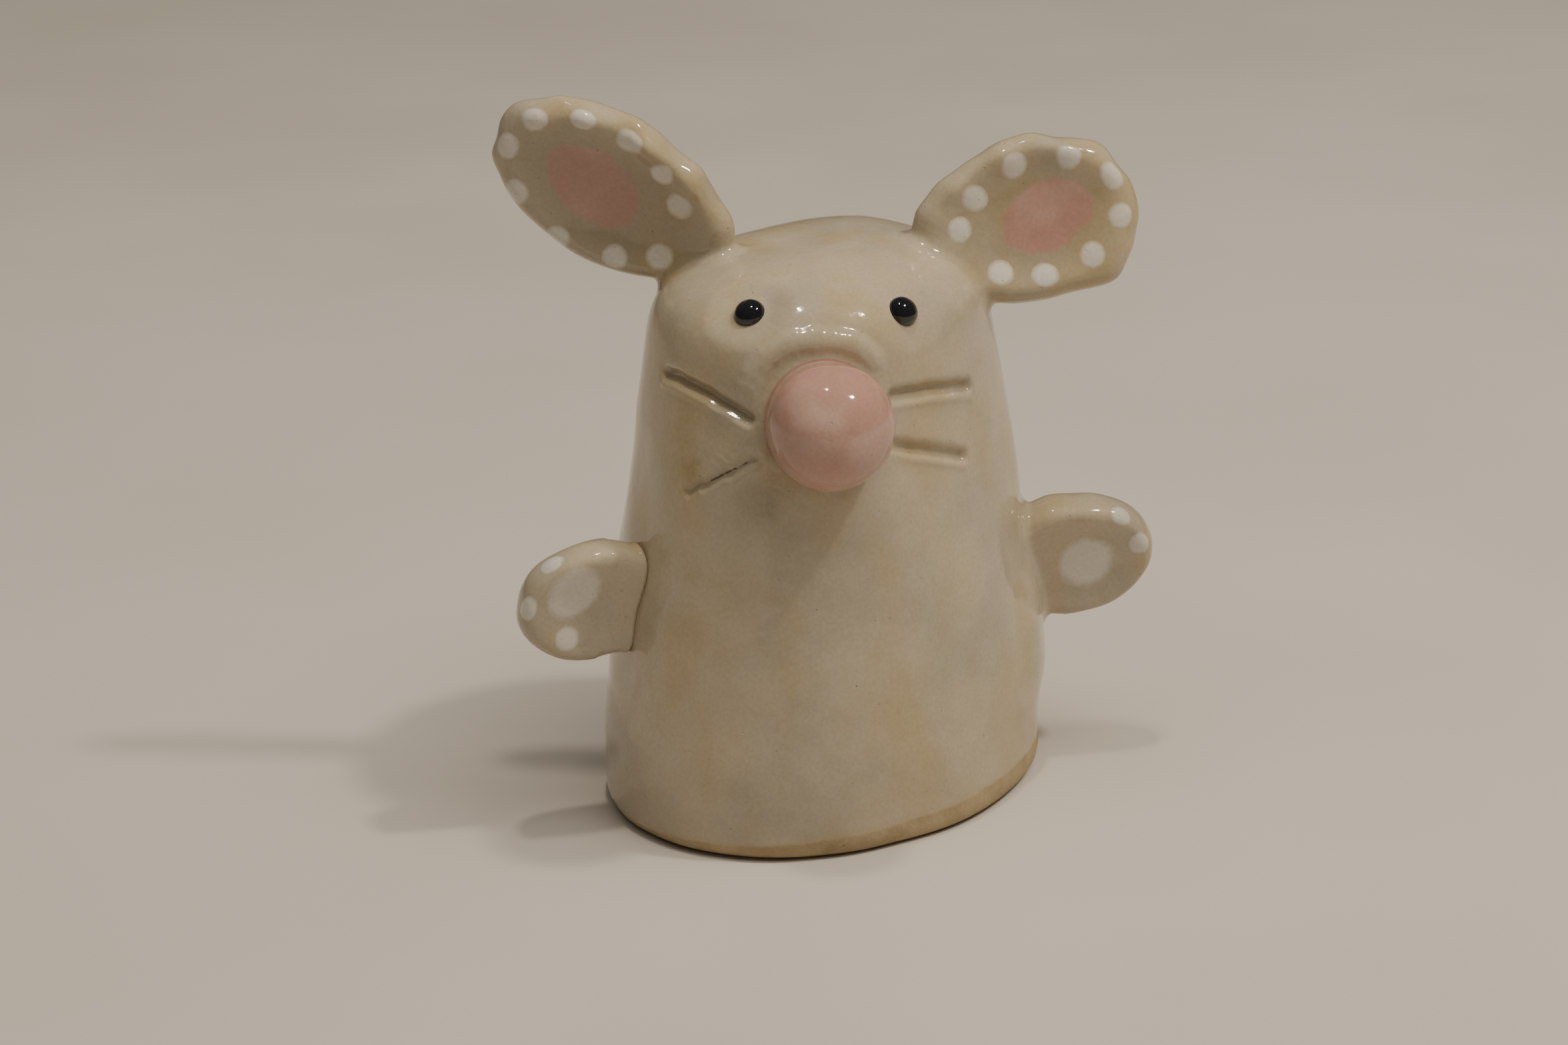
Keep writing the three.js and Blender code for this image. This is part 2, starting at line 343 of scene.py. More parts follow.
def wall_radius(z):
    along = max(z - TAPER_START, 0) / (DOME_START - TAPER_START)
    dome = superellipse(max(z - DOME_START, 0) / (BODY_HEIGHT - DOME_START))
    return (FOOT_RADIUS - TAPER * along**1.3) * dome


def inner_radius(z):
    """The inside of the wall, up to the inside of the crown."""
    dome = superellipse(max(z - HOLLOW_DOME_START, 0) / (HOLLOW_TOP - HOLLOW_DOME_START))
    return (wall_radius(min(z, HOLLOW_DOME_START)) - WALL) * dome


def hand_form():
    """The oval, the lean and the place of the body, as one matrix in millimetres."""
    turn = Matrix.Rotation(math.radians(OVAL_TURN), 4, "Z")
    oval = turn @ Matrix.Diagonal((1 + OVAL, 1 - OVAL, 1, 1)) @ turn.inverted()
    lean = Matrix.Identity(4)
    lean[0][2] = LEAN
    return Matrix.Translation(AXIS_FOOT) @ lean @ oval


def on_wall(height, degrees, out=0):
    angle = math.radians(degrees)
    radius = wall_radius(height) + out
    return hand_form() @ Vector((radius * math.sin(angle), -radius * math.cos(angle), height))


def dome_rings(radius_at, start, top, rows):
    rings = []
    for row in range(1, rows):
        angle = math.radians(90 * row / rows)
        z = start + (top - start) * math.sin(angle) ** (2 / DOME_FULLNESS)
        rings.append((radius_at(z), z))
    return rings


def coil_up_body():
    heights = np.linspace(FOOT_EDGE, DOME_START, 15)
    rings = [(wall_radius(z), z) for z in heights]
    rings += dome_rings(wall_radius, DOME_START, BODY_HEIGHT, 8)
    ob = throw("clay_body", rings + [(0, BODY_HEIGHT)], 48)
    round_off(ob, 3)
    wobble(ob, 13, 0.9)
    hollow_out(ob)
    return ob


def hollow_out(ob):
    """Turns the open edge under into a rounded foot ring, and goes on up as the inside wall."""
    pick(ob, places(ob)[:, 2] < FOOT_EDGE + 0.01)
    radius = wall_radius(FOOT_EDGE)
    inner = radius - WALL
    inner_edge = FOOT_EDGE / 2
    rings = []
    for step in (1, 2, 3, 4):
        angle = math.radians(90 * step / 4)
        rings.append((radius - FOOT_EDGE * (1 - math.cos(angle)), FOOT_EDGE * (1 - math.sin(angle))))
    rings.append((inner + inner_edge, 0))
    rings.append((inner + inner_edge * 0.3, inner_edge * 0.3))
    rings.append((inner, inner_edge))
    rings += [(inner_radius(z), z) for z in np.linspace(2.5, HOLLOW_DOME_START, 9)]
    rings += dome_rings(inner_radius, HOLLOW_DOME_START, HOLLOW_TOP, 7)
    ring = (radius, FOOT_EDGE)
    for new in rings:
        raise_ring(ring, new)
        ring = new
    close_pole(ring, HOLLOW_TOP)
    bpy.ops.object.mode_set(mode="OBJECT")
    close_up(ob)


def line_on_wall(start, end, arch=0.0, shake=0.0, steps=40):
    points = []
    for share in np.linspace(0, 1, steps + 1):
        height = start[0] + (end[0] - start[0]) * share + arch * 4 * share * (1 - share)
        height += shake * (math.sin(share * 17) + 0.6 * math.sin(share * 31 + 1))
        points.append(on_wall(height, start[1] + (end[1] - start[1]) * share))
    return points


def distance_to(ob, points):
    co = places(ob)
    return np.min([np.linalg.norm(co - np.array(p), axis=1) for p in points], axis=0)


def outside_hollow(co, margin):
    """True for what is further from the body's axis than the inside wall, by a margin."""
    from_axis = np.hypot(co[:, 0] - AXIS_FOOT.x, co[:, 1] - AXIS_FOOT.y)
    return from_axis > [inner_radius(z) + margin for z in np.clip(co[:, 2], 0, HOLLOW_MEASURED_TO)]


def outside_front(ob):
    """True for the front of the body's outside, so the inside wall isn't touched."""
    co = places(ob)
    return (co[:, 1] < AXIS_FOOT.y) & outside_hollow(co, 2)


def normals_of(ob):
    normals = np.empty(len(ob.data.vertices) * 3)
    ob.data.vertices.foreach_get("normal", normals)
    return normals.reshape(-1, 3)


def carve_whiskers(ob):
    """Drags a blunt tool through the clay: a round-floored groove, and a low lip pushed up under it.

    Returns how much glaze pools at each vertex; this darkening also paints the shade in the groove.
    """
    lines = {}
    for key, (start, end, arch, _, shake) in WHISKERS.items():
        lines[key] = line_on_wall(start, end, arch, shake)
    every = [p for line in lines.values() for p in line]
    refine(ob, outside_front(ob) & (distance_to(ob, every) < 2.1))
    front = outside_front(ob)
    co = places(ob)
    normals = normals_of(ob)
    pooled_and_shade = np.zeros(len(co))
    for key, line in lines.items():
        depth = WHISKERS[key][3]
        distance = distance_to(ob, line)
        below = distance_to(ob, [p - Vector((0, 0, 1.0)) for p in line])
        lift = LIP_HEIGHT * np.exp(-((below / LIP_WIDTH) ** 2))
        lift -= depth * np.exp(-((distance / GROOVE_WIDTH) ** GROOVE_SQUARENESS))
        if key == "right_lower":
            # This stroke tore the clay, which left crumbs above it.
            torn = distance_to(ob, [p + Vector((0, 0, 1.0)) for p in line[12:36]])
            crumbs = 0.5 + 0.5 * np.sin(co[:, 0] * 4.1) * np.sin(co[:, 2] * 5.3 + co[:, 0])
            lift += CRUMB_HEIGHT * np.exp(-((torn / CRUMB_REACH) ** 2)) * crumbs
        co += normals * (lift * front)[:, None]
        # Darker in and just beside each groove: partly glaze that pools there, partly painted shade of the
        # groove's walls.
        pool_and_shade = np.clip(1.0 - distance / POOL_AND_SHADE_REACH, 0, 1) * front * depth * POOL_AND_SHADE_SHARE
        pooled_and_shade = np.maximum(pooled_and_shade, pool_and_shade)
    set_places(ob, co)
    return pooled_and_shade


def model_face(ob):
    """The soft mound under the nose, the ridge pinched up over it, and the dents the eyes sit in."""
    nose = on_wall(*NOSE_PLACE)
    push(ob, outside_front(ob) & near(ob, on_wall(*MUZZLE_PLACE), 2), (0, -0.9, 0), 11)
    skin = surface(ob)
    ridge = []
    for degrees in BROW_DEGREES:
        angle = math.radians(degrees)
        above = nose + Vector((BROW_RADIUS * math.sin(angle), 0, BROW_RADIUS * math.cos(angle)))
        ridge.append(skin.find_nearest(above)[0])
    press(ob, outside_front(ob) & (distance_to(ob, ridge) < 0.4), -0.45, 1.3)
    for side, depth in SOCKET_DEPTH.items():
        press(ob, outside_front(ob) & near(ob, middle_of(f"eye_{side}"), 1.9), depth, 2.8)
    over = middle_of("eye_right") + Vector((0.6, -0.2, 2))
    press(ob, outside_front(ob) & near(ob, over, 1.4), 0.25, 1.6)
    # The left side swells low down, and the right side is a little flat.
    push(ob, near(ob, on_wall(14.5, 84), 3), (0.75, -0.2, 0), 6)
    push(ob, near(ob, on_wall(30, -80), 3), (0.4, 0, 0), 8)


def middle_of(node):
    low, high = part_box(node)
    return (Vector(low) + Vector(high)) / 2 / MM


def body_piece():
    ob = coil_up_body()
    set_at(ob, hand_form())
    model_face(ob)
    note(ob, "pooled_and_shade", carve_whiskers(ob))
    co = places(ob)
    inside = ~outside_hollow(co, 1.2) & (co[:, 2] < HOLLOW_TOP + 0.1)
    band = BARE_BAND + BARE_BAND_TILT * co[:, 0]
    bare = np.clip(0.5 + (band - co[:, 2]) * 0.5, 0, 1)
    note(ob, "bare", np.where(inside, 1, bare))
    smooth(ob)
    return ob


# ---- Pads of clay, pressed onto the body ----


def pad_form(pad):
    """Where a pad that lies along X and faces Z goes on the mouse, as a matrix in millimetres."""
    a, b = math.radians(pad["direction"]), math.radians(pad["back"])
    along = Vector((math.cos(a) * math.cos(b), math.sin(b), math.sin(a) * math.cos(b)))
    front = (along * along.y - Vector((0, 1, 0))).normalized()
    across = front.cross(along)
    roll = Matrix.Rotation(math.radians(pad["roll"]), 4, "X")
    form = Matrix((along, across, front)).transposed().to_4x4() @ roll
    form.translation = Vector(pad["root"]) + AXIS_FOOT
    return form


def pinch_pad(name, profile, pad):
    """Rolls a lump flat on the wheel head, then draws it out long and pinches its neck."""
    length, width = pad["length"], pad["width"]
    ob = throw(name, profile, 48)
    pick(ob, np.ones(len(ob.data.vertices)))
    bpy.ops.transform.resize(value=(length / 2, width / 2, 1), center_override=(0, 0, 0))
    bpy.ops.transform.translate(value=(length / 2 * MM, 0, 0))
    bpy.ops.object.mode_set(mode="OBJECT")
    root = places(ob)[:, 0] < 0.08 * length
    squeeze(ob, root, (1, pad["neck"], 1), (0, 0, 0), 0.55 * length)
    round_off(ob, 1)
    return ob


def rim_point(pad, degrees):
    angle = math.radians(degrees)
    half = pad["length"] / 2
    return Vector((half + half * math.cos(angle), pad["width"] / 2 * math.sin(angle), 0.6))


def knuckle(ob, pad, marks):
    """Small pinches round a rim: each mark is degrees round from the tip, the pull out, and its reach."""
    for degrees, pull, *reach in marks:
        point = rim_point(pad, degrees)
        outward = Vector((math.cos(math.radians(degrees)), math.sin(math.radians(degrees)), 0.25))
        push(ob, nearest(ob, point), outward * pull, reach[0] if reach else 2.1)


def above_wall(wall, point):
    """The nearest place on the wall to a point, the wall's slope there, and the point's height over it."""
    place, slope, _, _ = wall.find_nearest(point)
    return place, slope, (Vector(point) - place).dot(slope)


def trim_root(ob, body, gap):
    """Pares away what is inside the body, and leaves an even gap between the cut edge and the wall."""
    wall = surface(body)
    co = places(ob)
    inside = [above_wall(wall, point)[2] < gap for point in co]
    pick(ob, np.zeros(len(co)))
    bpy.ops.mesh.select_mode(type="FACE")
    bpy.ops.object.mode_set(mode="OBJECT")
    for polygon in ob.data.polygons:
        polygon.select = all(inside[i] for i in polygon.vertices)
    bpy.ops.object.mode_set(mode="EDIT")
    bpy.ops.mesh.delete(type="FACE")
    bpy.ops.object.mode_set(mode="OBJECT")
    co = places(ob)
    for i, point in enumerate(co):
        place, slope, height = above_wall(wall, point)
        if height < gap:
            co[i] = place + slope * gap
    set_places(ob, co)


def open_loop(ob):
    """The vertices round the one open edge, in order."""
    used = {}
    for polygon in ob.data.polygons:
        for key in polygon.edge_keys:
            used[key] = used.get(key, 0) + 1
    beside = {}
    for (a, b), count in used.items():
        if count == 1:
            beside.setdefault(a, []).append(b)
            beside.setdefault(b, []).append(a)
    first = min(beside)
    loop = [first]
    current, previous = beside[first][0], first
    while current != first:
        loop.append(current)
        ahead = [i for i in beside[current] if i != previous]
        current, previous = ahead[0], current
    return loop


def evened(values, rounds):
    """Averages values round a loop, so that no one step stands out."""
    values = np.array(values, dtype=float)
    for _ in range(rounds):
        values = (np.roll(values, 1, axis=0) + values * 2 + np.roll(values, -1, axis=0)) / 4
    return values


def pick_loop(ob, loop):
    chosen = np.zeros(len(ob.data.vertices), dtype=bool)
    chosen[loop] = True
    pick(ob, chosen)


def lute_on(ob, body, spread, blend=1.3, rounds=8):
    """Smears the cut edge of a piece down and out onto the body, as wet clay is joined, and closes it.

    Spread is how far the clay goes out, blend how far the crease above it is softened, and rounds how much.
    """
    steps = 8
    rooted = 0.6  # how far the closed end goes into the body
    wall = surface(body)
    loop = open_loop(ob)
    co = places(ob)
    ring = evened(co[loop], 3)
    outward = evened(normals_of(ob)[loop], 12)
    feet = []
    for point, normal in zip(ring, outward):
        place, slope, height = above_wall(wall, point)
        sideways = Vector(normal) - slope * Vector(normal).dot(slope)
        feet.append((place, sideways.normalized(), height))
    co[loop] = ring
    set_places(ob, co)
    for step in range(1, steps + 2):
        share = min(step / steps, 1)
        angle = math.radians(90 * share)
        pick_loop(ob, loop)
        bpy.ops.mesh.extrude_region_move(TRANSFORM_OT_translate={"value": (0, 0, 0)})
        bpy.ops.object.mode_set(mode="OBJECT")
        fresh = np.arange(len(co), len(ob.data.vertices))
        co = places(ob)
        gaps = np.linalg.norm(co[fresh][None, :, :] - co[loop][:, None, :], axis=2)
        loop = [int(fresh[k]) for k in gaps.argmin(axis=1)]
        for i, (place, sideways, height) in zip(loop, feet):
            down, slope, _, _ = wall.find_nearest(place + sideways * spread * (1 - math.cos(angle)))
            rise = height * (1 - math.sin(angle))
            sunk = rooted if step > steps else 0.05 * share
            co[i] = down + slope * (rise - sunk)
        set_places(ob, co)
    pick_loop(ob, loop)
    bpy.ops.mesh.extrude_region_move(TRANSFORM_OT_translate={"value": (0, 0, 0)})
    bpy.ops.mesh.merge(type="CENTER")
    bpy.ops.object.mode_set(mode="OBJECT")
    smear(ob, list(ring), blend, rounds)
    close_up(ob)


def smear(ob, ring, reach, rounds):
    """Softens the crease where the smeared clay begins."""
    pick(ob, distance_to(ob, ring) < reach)
    for _ in range(rounds):
        bpy.ops.mesh.vertices_smooth(factor=0.5)
    bpy.ops.object.mode_set(mode="OBJECT")


def stick_on(ob, pad, body, gap):
    """Puts a pad in its place on the body and joins it there, and returns its place."""
    round_off(ob, 1)
    form = pad_form(pad)
    set_at(ob, form)
    trim_root(ob, body, gap)
    lute_on(ob, body, **pad["joint"])
    return form


def ear_piece(key, body):
    pad = EARS[key]
    half = pad["length"] / 2
    ob = pinch_pad(key + "_clay", EAR_PROFILE, pad)
    knuckle(ob, pad, pad["marks"])
    for degrees, lift in pad["lifts"]:
        point = rim_point(pad, degrees)
        point = Vector((half + (point.x - half) * RIM_FRONT, point.y * RIM_FRONT, 2.2))
        push(ob, nearest(ob, point), (0, 0, lift), 2.4)
    wobble(ob, 6, 0.5)
    form = stick_on(ob, pad, body, 1.0)
    wash(ob, pad, form)
    smooth(ob)
    return ob


def wash(ob, pad, form):
    """The pink brushed into the middle of an ear, and the glaze that gathers in the dish, darkened further
    as painted shade of the dish.
    """
    turned = np.array(form.to_3x3())
    local = places(ob) @ turned - np.array(form.translation) @ turned
    half = pad["length"] / 2
    patch = pad["wash"]
    turn = math.radians(patch["turn"])
    x = local[:, 0] - (half + patch["along"])
    y = local[:, 1] - patch["across"]
    u = x * math.cos(turn) + y * math.sin(turn)
    v = y * math.cos(turn) - x * math.sin(turn)
    front = local[:, 2] > 0
    reach = np.hypot(u / patch["half"][0], v / patch["half"][1])
    note(ob, "pink", np.clip(1.5 - reach, 0, 1.5) * front)
    share = np.hypot((local[:, 0] - half) / half, local[:, 1] / pad["width"] * 2)
    # Darker towards the middle of the ear's front: pooled glaze, and painted shade in the thumb-pressed
    # dish.
    note(ob, "pooled_and_shade", np.clip(1.1 - share * 1.15, 0, 0.45) * front)


def arm_piece(key, body):
    pad = ARMS[key]
    ob = pinch_pad(key + "_clay", ARM_PROFILE, pad)
    wobble(ob, 5, 0.5)
    stick_on(ob, pad, body, 0.9)
    smooth(ob)
    return ob


def blush(ob, centre):
    """The pink of the nose, which the brush carried a hair's breadth onto the face."""
    away = places(ob) - np.array(centre)
    reach = np.linalg.norm(away, axis=1)
    pink = np.clip(1.5 - np.maximum(reach - NOSE_RADIUS, 0) * 2.8, 0, 1.5)
    note(ob, "pink", pink * (away[:, 1] < 5))


def nose_piece(body):
    """A ball of clay, luted onto the face, with places where the pink has been rubbed thin."""
    rings = [(0, -NOSE_DEPTH)]
    for step in range(1, 12):
        angle = math.radians(180 * step / 12)
        rings.append((NOSE_RADIUS * math.sin(angle), -NOSE_DEPTH * math.cos(angle)))
    rings.append((0, NOSE_DEPTH))
    ob = throw("nose_clay", rings, 40)
    round_off(ob, 2)
    wobble(ob, 6, 0.45)
    low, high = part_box("nose")
    centre = Vector(((low[0] + high[0]) / 2, low[1], (low[2] + high[2]) / 2)) / MM
    centre += Vector((0.35, NOSE_DEPTH, 0))
    turn = Matrix.Rotation(math.radians(90), 4, "X")
    set_at(ob, Matrix.Translation(centre) @ turn)
    trim_root(ob, body, 0.9)
    lute_on(ob, body, 1.1, blend=2.6, rounds=36)
    co = places(ob)
    blush(ob, centre)
    blush(body, centre)
    rubbed = np.zeros(len(co))
    for across, up, size in ((-1.5, 1.5, 4.6), (2.6, -0.6, 3.8), (-3.6, -4.4, 2.6)):
        spot = centre + Vector((across, -math.sqrt(NOSE_DEPTH**2 - across**2 - up**2), up))
        away = np.linalg.norm(co - np.array(spot), axis=1)
        rubbed = np.maximum(rubbed, np.clip(1 - away / size, 0, 1))
    note(ob, "rubbed", rubbed)
    smooth(ob)
    return ob


# ---- Glaze and clay ----


class Value:
    """A socket that sums can be written with."""

    def __init__(self, finish, socket):
        self.finish = finish
        self.socket = socket

    def math(self, operation, *others):
        inputs = dict(enumerate((self, *others)))
        return self.finish.node("ShaderNodeMath", {"operation": operation}, inputs)

    def __add__(self, other):
        return self.math("ADD", other)

    def __sub__(self, other):
        return self.math("SUBTRACT", other)

    def __rsub__(self, other):
        return self * -1 + other

    def __mul__(self, other):
        return self.math("MULTIPLY", other)

    def wander(self, noise, reach):
        """Shifts a place a little, up to half of reach, as the noise does."""
        drift = (noise - 0.5) * reach
        steps = self.finish.node("ShaderNodeCombineXYZ", None, {"X": drift, "Y": drift, "Z": drift})
        return self.finish.vector("ADD", self, steps)

    def clamped(self):
        return self.math("ADD", 0).math("MINIMUM", 1).math("MAXIMUM", 0)

    def between(self, low, high):
        """Rises smoothly from 0 to 1 as the value goes from low to high."""
        settings = {"interpolation_type": "SMOOTHSTEP"}
        inputs = {"Value": self, "From Min": low, "From Max": high}
        return self.finish.node("ShaderNodeMapRange", settings, inputs)

    __radd__ = __add__
    __rmul__ = __mul__


class Finish:
    """A material, and the nodes that it is mixed from."""

    def __init__(self, name):
        self.material = bpy.data.materials.new(name)
        self.material.use_nodes = True
        self.tree = self.material.node_tree
        self.tree.nodes.clear()
        self.output = self.tree.nodes.new("ShaderNodeOutputMaterial")
        coordinates = self.node("ShaderNodeTexCoord", output="Object")
        self.place = self.scaled(coordinates, 1000)  # in millimetres

    def node(self, kind, settings=None, inputs=None, output=0):
        node = self.tree.nodes.new(kind)
        for key, value in (settings or {}).items():
            setattr(node, key, value)
        for key, value in (inputs or {}).items():
            if isinstance(value, Value):
                self.tree.links.new(value.socket, node.inputs[key])
            else:
                node.inputs[key].default_value = value
        return Value(self, node.outputs[output])

    def vector(self, operation, a, b, output="Vector"):
        return self.node("ShaderNodeVectorMath", {"operation": operation}, {0: a, 1: b}, output)

    def distance(self, a, b):
        return self.vector("DISTANCE", a, b, "Value")

    def scaled(self, a, scale):
        return self.node("ShaderNodeVectorMath", {"operation": "SCALE"}, {0: a, "Scale": scale})

    def noise(self, size, detail, at=None, stretch=None):
        """Soft noise, from 0 to 1, whose lumps are about size millimetres across."""
        place = at or self.place
        if stretch:
            place = self.vector("MULTIPLY", place, stretch)
        inputs = {"Vector": place, "Scale": 1 / size, "Detail": detail, "Roughness": 0.5}
        return self.node("ShaderNodeTexNoise", {"normalize": True}, inputs)

    def mix(self, share, a, b, blend="MIX"):
        settings = {"data_type": "RGBA", "blend_type": blend, "clamp_factor": True}
        return self.node("ShaderNodeMix", settings, {0: share, 6: a, 7: b}, output=2)

    def noted(self, name):
        return self.node("ShaderNodeAttribute", {"attribute_name": name}, output="Fac")

    def shift(self, by):
        return self.vector("ADD", self.place, by)

    def bump(self, height):
        """Relief from a height in millimetres."""
        return self.node("ShaderNodeBump", None, {"Height": height, "Distance": MM, "Strength": 1}, "Normal")

    def glazed(self, inputs):
        """Joins the shader to the output, and returns the material."""
        shader = self.node("ShaderNodeBsdfPrincipled", None, inputs)
        self.tree.links.new(shader.socket, self.output.inputs["Surface"])
        return self.material

    def specks(self, size, reach, seed):
        """Round specks, at most one to a cell of size millimetres, from 1 in the middle to 0 at the edge."""
        inputs = {"Vector": self.shift(seed), "Scale": 1 / size, "Randomness": 1}
        distance = self.node("ShaderNodeTexVoronoi", {"feature": "F1"}, inputs, output="Distance")
        return 1 - distance.between(reach * 0.5, reach)


def colour(r, g, b):
    return (r, g, b, 1)


CREAM = colour(0.49, 0.42, 0.295)
GREY_CREAM = colour(0.42, 0.37, 0.272)
HONEY = colour(0.46, 0.365, 0.205)
BARE_CLAY = colour(0.47, 0.375, 0.225)
# Darker glaze where it pools, also used as painted shade in the whisker grooves and ear dishes.
POOLED_GLAZE_AND_SHADE = colour(0.27, 0.225, 0.145)
PINK = colour(0.46, 0.25, 0.205)
PALE_PINK = colour(0.60, 0.42, 0.36)
SLIP = colour(0.70, 0.665, 0.60)
MILKY = colour(0.62, 0.56, 0.46)
TOASTED_CLAY = colour(0.38, 0.295, 0.165)
DARK_GRAIN = colour(0.25, 0.21, 0.14)
IRON = colour(0.10, 0.065, 0.035)
SMUDGE = colour(0.33, 0.235, 0.10)
BLUE_BLACK = colour(0.004, 0.005, 0.009)
SOFT_BLACK = colour(0.012, 0.012, 0.016)
FLOOR_GREY = colour(0.56, 0.52, 0.475)
FLOOR_PALE = colour(0.60, 0.56, 0.515)

GLAZE_IOR = 1.52

# Flaws in the firing: a crack and a smudge by the torn whisker, and iron spots as (place, radius).
CRACK = ((39.0, -22), (35.9, -40))
SMUDGE_PLACE = (37.6, -42)
IRON_SPOTS = (
    (on_wall(26.8, -7.4), 0.22),
    (on_wall(17.3, 8.1), 0.2),
    (on_wall(19.5, -11), 0.15),
    (on_wall(3.4, -24.8), 0.2),
    (on_wall(46.6, -1.5, 3.9), 0.2),
    (on_wall(33, -48), 0.16),
)


def stoneware():
    """Cream stoneware under a clear glaze.

    Where it is pink, rubbed, pooled or painted with shade, bare or covered in slip is kept on each piece's
    vertices.
    """
    f = Finish("glazed_stoneware")
    broad = f.noise(11, 2)
    upright = f.noise(7, 2, stretch=(1, 1, 0.45), at=f.shift((40, 7, 13)))
    clouds = f.noise(3.2, 3, at=f.shift((5, 90, 31)))
    grain = f.noise(0.35, 2)
    clay = f.mix(broad.between(0.36, 0.62), GREY_CREAM, CREAM)
    clay = f.mix(upright.between(0.45, 0.66) * 0.85, clay, HONEY)
    clay = f.mix(clouds.between(0.3, 0.7) * 0.16, clay, MILKY)

    # Pooled glaze and painted shade: the grooves and the ear dishes are darkened here.
    pooled_and_shade = f.noted("pooled_and_shade")
    clay = f.mix(pooled_and_shade * (0.7 + clouds * 0.5), clay, POOLED_GLAZE_AND_SHADE)

    pink_edge = f.noted("pink") + (f.noise(1.3, 3) - 0.5) * 0.3
    pink_share = pink_edge.between(0.46, 0.66)
    faded = f.noise(5, 2, at=f.shift((3, 3, 60))).between(0.42, 0.72) * 0.4
    rubbed = (f.noted("rubbed") + (f.noise(2, 3) - 0.5) * 0.3).between(0.05, 0.85) * 0.5
    wash = f.mix((faded + rubbed).clamped(), PINK, PALE_PINK)
    clay = f.mix(pink_share * (0.72 + clouds * 0.3), clay, wash)

    slip_edge = f.noted("slip") + (f.noise(0.8, 2) - 0.5) * 0.2
    slip_share = slip_edge.between(0.18, 0.52)
    clay = f.mix(slip_share * (0.78 + clouds * 0.25), clay, SLIP)

    bare_edge = f.noted("bare") + (f.noise(1.6, 2) - 0.5) * 0.35
    bare = bare_edge.between(0.36, 0.62)
    rim = bare_edge.between(0.12, 0.4) * (1 - bare)
    clay = f.mix(rim * 0.3, clay, HONEY)
    bare_clay = f.mix(f.noise(2.5, 4).between(0.3, 0.7), BARE_CLAY, TOASTED_CLAY)
    clay = f.mix(bare, clay, bare_clay)

    iron = f.specks(2.6, 0.045, (1, 2, 3)) * f.noise(6, 1, at=f.shift((9, 9, 9))).between(0.42, 0.6)
    fine_iron = f.specks(0.9, 0.08, (4, 8, 1)) * 0.3
    clay = f.mix((iron + fine_iron).clamped() * 0.75, clay, IRON)
    clay = f.mix((grain - 0.5).between(-0.25, 0.25) * 0.12, clay, DARK_GRAIN, "MULTIPLY")

    for spot, size in IRON_SPOTS:
        away = f.distance(f.place, spot)
        clay = f.mix((1 - (away + grain * 0.1).between(size * 0.5, size)) * 0.8, clay, IRON)
    start, end = (on_wall(height, degrees) for height, degrees in CRACK)
    run = (end - start).normalized()
    shaken = f.shift(-start).wander(f.noise(0.9, 3, at=f.shift((6, 1, 2))), 0.55)
    along = f.vector("DOT_PRODUCT", shaken, run, "Value")
    length = (end - start).length
    inside = along.between(-0.1, 0.3) * (1 - along.between(length - 0.8, length))
    off_line = f.distance(shaken, f.scaled(run, along))
    crack = (1 - off_line.between(0.03, 0.11)) * inside
    clay = f.mix(crack * 0.85, clay, IRON)
    away = f.distance(f.place, on_wall(*SMUDGE_PLACE))
    smudge = (1 - (away + (f.noise(1.2, 3) - 0.5) * 2.2).between(0.3, 1.7)) * 0.5
    clay = f.mix(smudge, clay, SMUDGE)

    peel = f.noise(0.95, 1, at=f.shift((2, 4, 8)))
    dimples = f.noise(2.6, 1)
    pits = f.specks(1.7, 0.07, (7, 1, 5))
    fine_peel = f.noise(0.42, 0, at=f.shift((8, 8, 2)))
    height = peel * 0.024 + fine_peel * 0.007 + dimples * 0.075 - pits * 0.05 * (1 - bare)
    height = height + grain * bare * 0.06 - crack * 0.12

    inputs = {
        "Base Color": clay,
        "Roughness": 0.07 + clouds * 0.05 + bare * 0.62,
        "Normal": f.bump(height),
        "IOR": GLAZE_IOR,
        "Coat Weight": (1 - bare) * 0.35,
        "Coat Roughness": 0.05,
    }
    return f.glazed(inputs)


def black_glaze():
    f = Finish("black_glaze")
    cloud = f.noise(0.9, 2)
    inputs = {
        "Base Color": f.mix(cloud, BLUE_BLACK, SOFT_BLACK),
        "Roughness": 0.07 + cloud * 0.04,
        "Normal": f.bump(f.noise(0.8, 1) * 0.03),
        "Coat Weight": 0.5,
    }
    return f.glazed(inputs)


# ---- Drops of slip, eyes and tail ----

# The way the brush points as it lays the dots, a little from above.
BRUSH = Vector((0.07, 0.94, -0.34)).normalized()

DROP_HEIGHT = 0.43  # of the master, whose radius is 1
EAR_DOT = {"radius": 1.62, "relief": 0.13}
PALM = {"left": {"radius": 3.7, "stretch": 1.05}, "right": {"radius": 3.2, "stretch": 1.3}}
TOE = {"radius": 1.55, "stretch": 1.05}
PAW_RELIEF = 0.16
PAW_TURN = -0.6  # radians, how far a paw's drops are turned on its face


def drop_of_slip():
    """One soft drop, a millimetre across its half: modelled once, and copied for every dot."""
    rings = [(0, -0.5), (0.5, -0.5), (0.97, -0.35), (1.04, -0.12), (1, 0)]
    rings += [(0.86, 0.05), (0.7, 0.16), (0.5, 0.29), (0.3, 0.38), (0.12, 0.42), (0, DROP_HEIGHT)]
    ob = throw("drop_of_slip", rings, 20)
    round_off(ob, 1)
    co = places(ob)
    note(ob, "slip", np.clip(1.05 - np.hypot(co[:, 0], co[:, 1]), 0, 1) * (co[:, 2] > -0.05))
    smooth(ob)
    return ob


